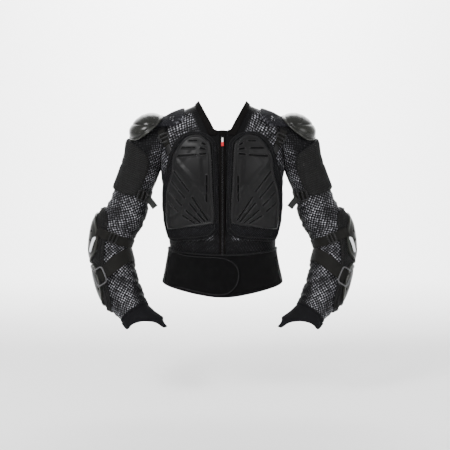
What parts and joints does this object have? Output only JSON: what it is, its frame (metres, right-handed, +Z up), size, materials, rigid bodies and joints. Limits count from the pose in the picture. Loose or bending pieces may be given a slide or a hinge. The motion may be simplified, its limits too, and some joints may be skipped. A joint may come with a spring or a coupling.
{
  "type": "protective armour shirt",
  "caption": "Long-sleeved mesh armour shirt in worn form, with vented chest plates, shoulder caps, elbow guards, straps and a wide waist belt.",
  "frame": {"origin": "the middle of the neck, level with the shoulders, where the shirt sits on what wears it", "axes": "+Z up, -Y to the front, the right sleeve towards -X"},
  "size_m": [0.757, 0.2299, 0.6293],
  "materials": {
    "mesh_cloth": "open black net with a silvery glint",
    "pad_cloth": "matte padded cloth",
    "belt_cloth": "matte brushed loop cloth",
    "knit_cloth": "fine knit",
    "webbing": "woven webbing",
    "strap_end": "grey webbing",
    "shell_plastic": "glossy moulded shell",
    "plate_plastic": "satin moulded plate",
    "buckle_plastic": "moulded buckle",
    "patch_plastic": "plain pale patch",
    "white_plastic": "white pull",
    "red_plastic": "red pull tip",
    "zip_metal": "dark coated metal"
  },
  "bodies": {
    "garment": {"torso_mesh": "mesh_cloth", "collar": "pad_cloth", "zip_placket": "webbing", "zip_slider": "zip_metal", "belt": "belt_cloth", "belt_flap": "belt_cloth", "belt_tab_right": "webbing", "belt_tab_left": "webbing", "sleeve_mesh_right": "mesh_cloth", "sleeve_mesh_left": "mesh_cloth", "chest_pad_right": "pad_cloth", "chest_pad_left": "pad_cloth", "chest_plate_right": "plate_plastic", "chest_plate_left": "plate_plastic", "shoulder_pad_right": "pad_cloth", "shoulder_pad_left": "pad_cloth", "shoulder_cap_right": "shell_plastic", "shoulder_cap_left": "shell_plastic", "shoulder_strap_right": "webbing", "shoulder_strap_left": "webbing", "shoulder_buckle_right": "buckle_plastic", "shoulder_buckle_left": "buckle_plastic", "shoulder_tab_right": "buckle_plastic", "shoulder_tab_left": "buckle_plastic", "upper_arm_pad_right": "pad_cloth", "upper_arm_pad_left": "pad_cloth", "arm_strap_right": "webbing", "arm_strap_left": "webbing", "arm_buckle_right": "buckle_plastic", "arm_buckle_left": "buckle_plastic", "arm_strap_end_right": "strap_end", "arm_strap_end_left": "strap_end", "elbow_pad_right": "pad_cloth", "elbow_pad_left": "pad_cloth", "elbow_cup_right": "shell_plastic", "elbow_cup_left": "shell_plastic", "elbow_patch_right": "patch_plastic", "elbow_patch_left": "patch_plastic", "forearm_plate_right": "shell_plastic", "forearm_plate_left": "shell_plastic", "elbow_strap_right": "webbing", "elbow_strap_left": "webbing", "elbow_buckle_right": "buckle_plastic", "elbow_buckle_left": "buckle_plastic", "forearm_strap_right": "webbing", "forearm_strap_left": "webbing", "forearm_ring_right": "buckle_plastic", "forearm_ring_left": "buckle_plastic", "cuff_right": "knit_cloth", "cuff_left": "knit_cloth"},
    "zip_pull": {"zip_pull": "white_plastic", "zip_pull_tip": "red_plastic"}
  },
  "joints": [
    {"name": "zip_pull_hinge", "type": "hinge", "parent": "garment", "child": "zip_pull", "pos_m": [0, -0.09595, -0.06186], "axis": [-1, 0, 0], "range_deg": [0, 120]}
  ]
}
